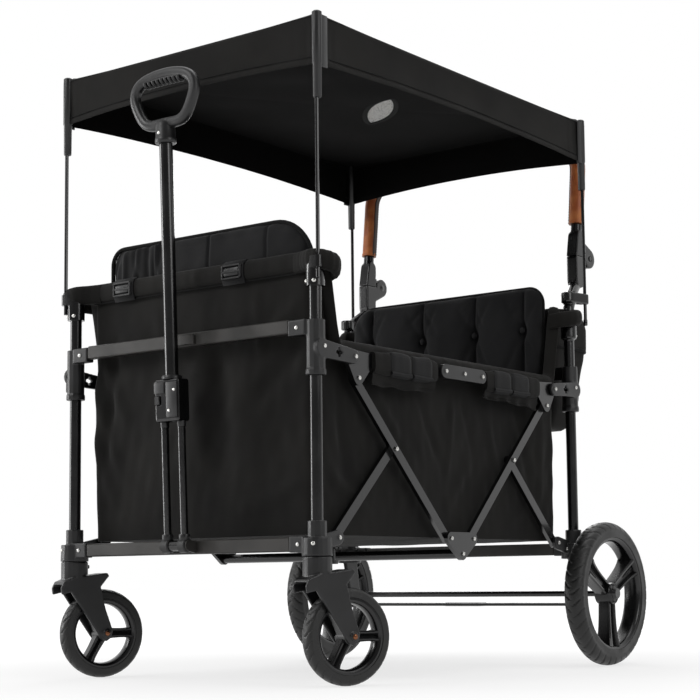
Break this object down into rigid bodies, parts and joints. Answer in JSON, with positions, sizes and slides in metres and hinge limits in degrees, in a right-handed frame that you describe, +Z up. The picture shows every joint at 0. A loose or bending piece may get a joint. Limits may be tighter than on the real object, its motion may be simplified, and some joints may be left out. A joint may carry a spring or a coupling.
{
  "type": "folding wagon",
  "caption": "Folding child wagon: cloth tub with facing padded seats on a side scissor frame, canopy on poles, swivel casters, large rear wheels, pull handle and push handle",
  "frame": {"origin": "on the floor under the middle of the bounding box", "axes": "+Z up, -Y forward (pull handle and casters), +X to the left of a person who pushes from behind"},
  "size_m": [0.762, 1.1033, 1.1389],
  "materials": {
    "black_steel": "gloss black powder coat on steel tube",
    "grey_steel": "satin graphite powder coat on rectangular tube",
    "nylon": "fine textured black moulded nylon",
    "tyre": "black moulded rubber with a shallow tread",
    "rubber": "black rubber tread moulded on a black nylon wheel",
    "canvas": "black woven polyester, matte",
    "leather": "smooth cognac leather, stitched"
  },
  "bodies": {
    "front_end": {"front_post_left": "black_steel", "front_post_right": "black_steel", "front_foot_left": "nylon", "front_foot_right": "nylon", "front_lower_bar": "grey_steel", "canopy_pole_front_left": "black_steel", "canopy_pole_front_right": "black_steel", "tub": "canvas", "canopy": "canvas", "front_seat_back": "canvas"},
    "rear_end": {"rear_post_left": "black_steel", "rear_post_right": "black_steel", "rear_foot_left": "nylon", "rear_foot_right": "nylon", "rear_lower_bar": "grey_steel", "rear_axle": "black_steel", "canopy_pole_rear_left": "black_steel", "canopy_pole_rear_right": "black_steel", "rear_seat_back": "canvas", "storage_bag": "canvas"},
    "front_carriage": {"front_collar_left": "nylon", "front_collar_right": "nylon", "front_upper_bar": "grey_steel"},
    "rear_carriage": {"rear_collar_bar": "nylon"},
    "rail_connectors": {"rail_connector_left": "nylon", "rail_connector_right": "nylon"},
    "cross_tube": {"cross_tube": "black_steel"},
    "pull_handle": {"pull_handle_yoke": "black_steel"},
    "pull_slide": {"pull_handle_tube": "black_steel", "pull_handle_grip": "nylon"},
    "handle_button": {"handle_button": "nylon"},
    "collar_button": {"collar_button": "nylon"},
    "push_handle": {"push_hub_left": "nylon", "push_hub_right": "nylon", "leather_grip": "leather"},
    "brake": {"brake_bar": "black_steel"},
    "front_struts": {"front_strut_left": "black_steel", "front_strut_right": "black_steel"},
    "front_braces": {"front_brace_left": "black_steel", "front_brace_right": "black_steel"},
    "front_rails": {"front_rail_left": "black_steel", "front_rail_right": "black_steel"},
    "front_seat": {"front_seat_cushion": "canvas"},
    "rear_struts": {"rear_strut_left": "black_steel", "rear_strut_right": "black_steel"},
    "rear_braces": {"rear_brace_left": "black_steel", "rear_brace_right": "black_steel"},
    "rear_rails": {"rear_rail_left": "black_steel", "rear_rail_right": "black_steel"},
    "rear_seat": {"rear_seat_cushion": "canvas"},
    "caster_left": {"caster_fork_left": "nylon"},
    "caster_wheel_left": {"caster_wheel_left": "rubber"},
    "caster_lock_left": {"caster_lock_left": "nylon"},
    "rear_wheel_left": {"rear_wheel_left": "nylon", "rear_tyre_left": "tyre"},
    "caster_right": {"caster_fork_right": "nylon"},
    "caster_wheel_right": {"caster_wheel_right": "rubber"},
    "caster_lock_right": {"caster_lock_right": "nylon"},
    "rear_wheel_right": {"rear_wheel_right": "nylon", "rear_tyre_right": "tyre"}
  },
  "joints": [
    {"name": "fold", "type": "slide", "parent": "front_end", "child": "rear_end", "axis": [0, -1, 0], "range_m": [0, 0.4478], "deforming": ["tub", "canopy"]},
    {"name": "front_collar_travel", "type": "slide", "parent": "front_end", "child": "front_carriage", "axis": [0, 0, 1], "range_m": [0, 0.0559]},
    {"name": "front_rail_hinge", "type": "hinge", "parent": "front_carriage", "child": "front_rails", "pos_m": [0, -0.38165, 0.556], "axis": [1, 0, 0], "range_deg": [0, 80]},
    {"name": "front_strut_hinge", "type": "hinge", "parent": "front_end", "child": "front_struts", "pos_m": [0, -0.40965, 0.247], "axis": [1, 0, 0], "range_deg": [0, 25.7]},
    {"name": "front_scissor_pivot", "type": "hinge", "parent": "front_struts", "child": "front_braces", "pos_m": [0, -0.24465, 0.406], "axis": [-1, 0, 0], "range_deg": [0, 66.08]},
    {"name": "front_seat_hinge", "type": "hinge", "parent": "front_end", "child": "front_seat", "pos_m": [0, -0.39915, 0.452], "axis": [1, 0, 0], "range_deg": [0, 85]},
    {"name": "rear_collar_travel", "type": "slide", "parent": "rear_end", "child": "rear_carriage", "axis": [0, 0, 1], "range_m": [0, 0.0559]},
    {"name": "rear_rail_hinge", "type": "hinge", "parent": "rear_carriage", "child": "rear_rails", "pos_m": [0, 0.28235, 0.556], "axis": [-1, 0, 0], "range_deg": [0, 80]},
    {"name": "rear_strut_hinge", "type": "hinge", "parent": "rear_end", "child": "rear_struts", "pos_m": [0, 0.31035, 0.247], "axis": [-1, 0, 0], "range_deg": [0, 25.7]},
    {"name": "rear_scissor_pivot", "type": "hinge", "parent": "rear_struts", "child": "rear_braces", "pos_m": [0, 0.14535, 0.406], "axis": [1, 0, 0], "range_deg": [0, 66.08]},
    {"name": "rear_seat_hinge", "type": "hinge", "parent": "rear_end", "child": "rear_seat", "pos_m": [0, 0.29985, 0.452], "axis": [-1, 0, 0], "range_deg": [0, 85]},
    {"name": "connector_hinge", "type": "hinge", "parent": "front_rails", "child": "rail_connectors", "pos_m": [0, -0.11065, 0.556], "axis": [-1, 0, 0], "range_deg": [0, 80]},
    {"name": "cross_tube_hinge", "type": "hinge", "parent": "front_braces", "child": "cross_tube", "pos_m": [0, -0.08665, 0.25], "axis": [1, 0, 0], "range_deg": [0, 40.38]},
    {"name": "caster_swivel_left", "type": "hinge", "parent": "front_end", "child": "caster_left", "pos_m": [0.29, -0.46965, 0.19], "axis": [0, 0, 1], "continuous": true},
    {"name": "caster_roll_left", "type": "hinge", "parent": "caster_left", "child": "caster_wheel_left", "pos_m": [0.30881, -0.41797, 0.08179], "axis": [0.9397, -0.342, 0], "continuous": true},
    {"name": "caster_lock_press_left", "type": "slide", "parent": "front_end", "child": "caster_lock_left", "axis": [0, 0, -1], "range_m": [0, 0.004]},
    {"name": "rear_roll_left", "type": "hinge", "parent": "rear_end", "child": "rear_wheel_left", "pos_m": [0.355, 0.38535, 0.14409], "axis": [1, 0, 0], "continuous": true},
    {"name": "caster_swivel_right", "type": "hinge", "parent": "front_end", "child": "caster_right", "pos_m": [-0.29, -0.46965, 0.19], "axis": [0, 0, 1], "continuous": true},
    {"name": "caster_roll_right", "type": "hinge", "parent": "caster_right", "child": "caster_wheel_right", "pos_m": [-0.27119, -0.41797, 0.08179], "axis": [0.9397, -0.342, 0], "continuous": true},
    {"name": "caster_lock_press_right", "type": "slide", "parent": "front_end", "child": "caster_lock_right", "axis": [0, 0, -1], "range_m": [0, 0.004]},
    {"name": "rear_roll_right", "type": "hinge", "parent": "rear_end", "child": "rear_wheel_right", "pos_m": [-0.355, 0.38535, 0.14409], "axis": [1, 0, 0], "continuous": true},
    {"name": "brake_pedal", "type": "hinge", "parent": "rear_end", "child": "brake", "pos_m": [0, 0.38535, 0.14409], "axis": [-1, 0, 0], "range_deg": [0, 18]},
    {"name": "pull_tilt", "type": "hinge", "parent": "front_end", "child": "pull_handle", "pos_m": [0, -0.50165, 0.238], "axis": [1, 0, 0], "range_deg": [0, 85]},
    {"name": "pull_extend", "type": "slide", "parent": "pull_handle", "child": "pull_slide", "axis": [0, -0.0384, 0.9993], "range_m": [-0.19, 0]},
    {"name": "clamp_button", "type": "slide", "parent": "pull_handle", "child": "handle_button", "axis": [0, 0.9993, 0.0384], "range_m": [0, 0.003], "stiffness_N_per_m": 300},
    {"name": "collar_release", "type": "slide", "parent": "front_carriage", "child": "collar_button", "axis": [1, 0, 0], "range_m": [0, 0.003], "stiffness_N_per_m": 300},
    {"name": "push_fold", "type": "hinge", "parent": "rear_end", "child": "push_handle", "pos_m": [0, 0.47035, 0.853], "axis": [-1, 0, 0], "range_deg": [0, 145]}
  ],
  "couplings": [
    {"joint": "front_collar_travel", "follows": "fold", "ratio": 0.12478},
    {"joint": "front_rail_hinge", "follows": "fold", "rad_per_m": 3.1175},
    {"joint": "front_strut_hinge", "follows": "fold", "rad_per_m": 1.0013},
    {"joint": "front_scissor_pivot", "follows": "fold", "rad_per_m": 2.5746},
    {"joint": "front_seat_hinge", "follows": "fold", "rad_per_m": 3.3123},
    {"joint": "rear_collar_travel", "follows": "fold", "ratio": 0.12478},
    {"joint": "rear_rail_hinge", "follows": "fold", "rad_per_m": 3.1175},
    {"joint": "rear_strut_hinge", "follows": "fold", "rad_per_m": 1.0013},
    {"joint": "rear_scissor_pivot", "follows": "fold", "rad_per_m": 2.5746},
    {"joint": "rear_seat_hinge", "follows": "fold", "rad_per_m": 3.3123},
    {"joint": "connector_hinge", "follows": "fold", "rad_per_m": 3.1175},
    {"joint": "cross_tube_hinge", "follows": "fold", "rad_per_m": 1.5733}
  ]
}
